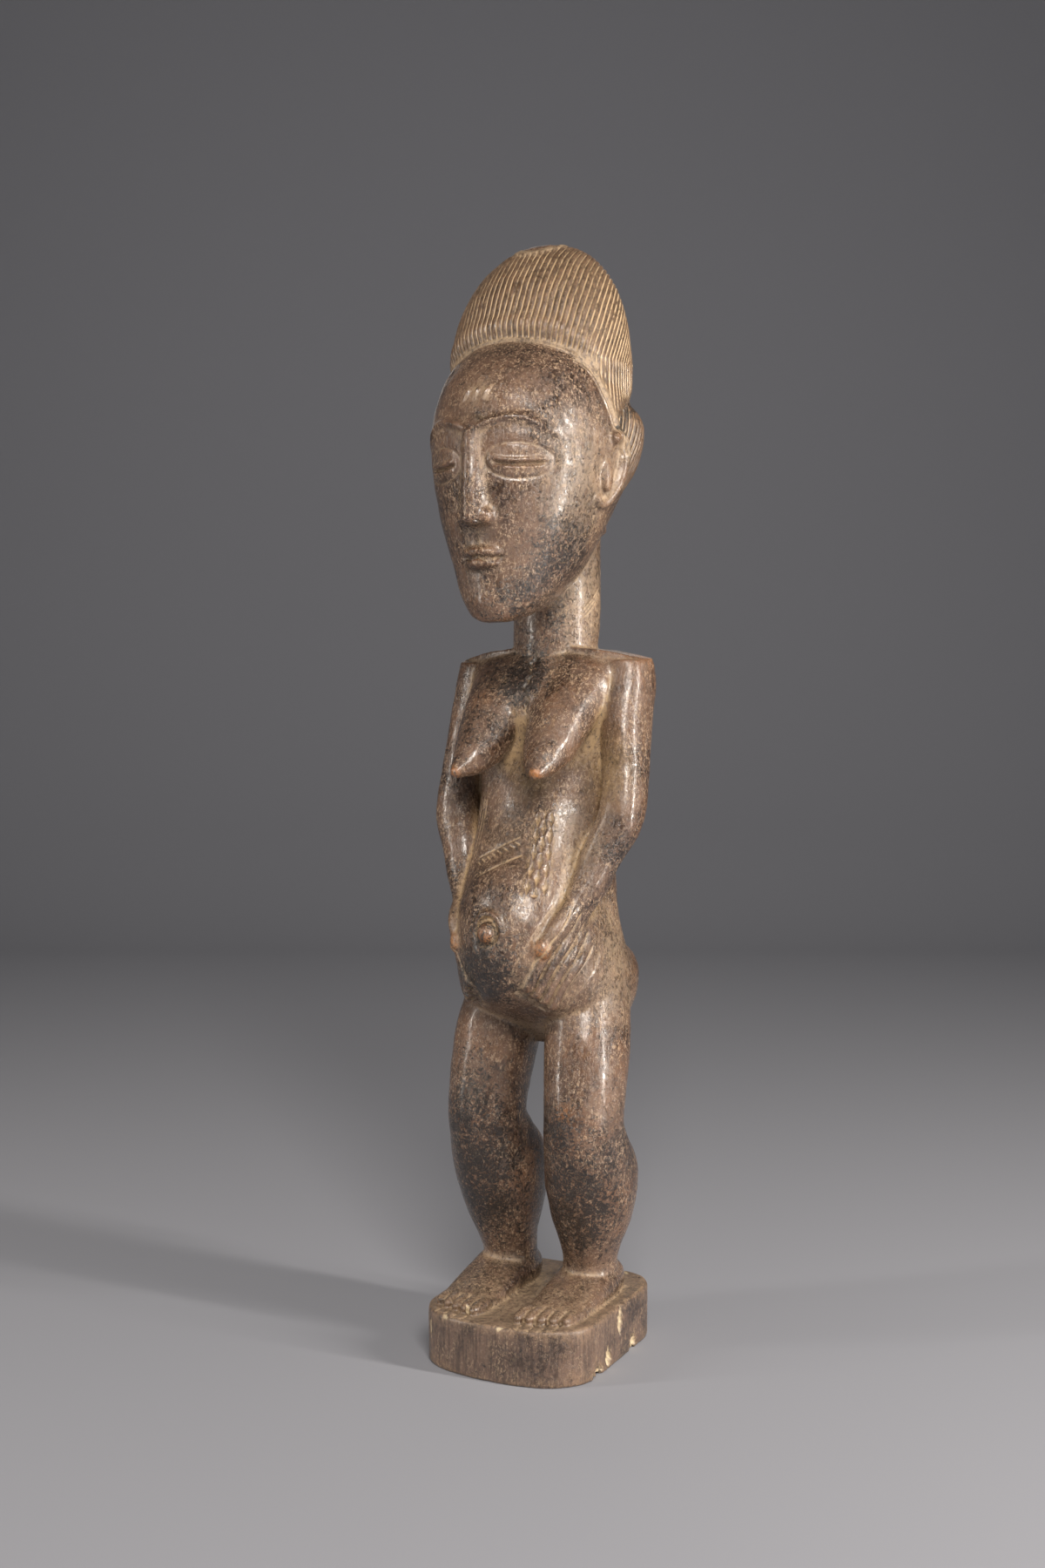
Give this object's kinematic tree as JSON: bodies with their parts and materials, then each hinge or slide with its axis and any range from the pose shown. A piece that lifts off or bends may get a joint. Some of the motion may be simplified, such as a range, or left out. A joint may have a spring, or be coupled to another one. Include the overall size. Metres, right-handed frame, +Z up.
{
  "type": "wooden statue",
  "caption": "Standing female figure carved in wood with its low rounded base, hands resting on the belly, a high combed coiffure and slightly bent knees.",
  "frame": {"origin": "middle of the base's underside", "axes": "+Z up, the figure faces -Y, its left side is +X"},
  "size_m": [0.0934, 0.0978, 0.4508],
  "materials": {
    "patinated_wood": "dark brown hardwood with a worn, softly glossy patina on raised forms and pale dust in the carved recesses"
  },
  "bodies": {
    "root": {"carved_figure": "patinated_wood"}
  },
  "joints": []
}
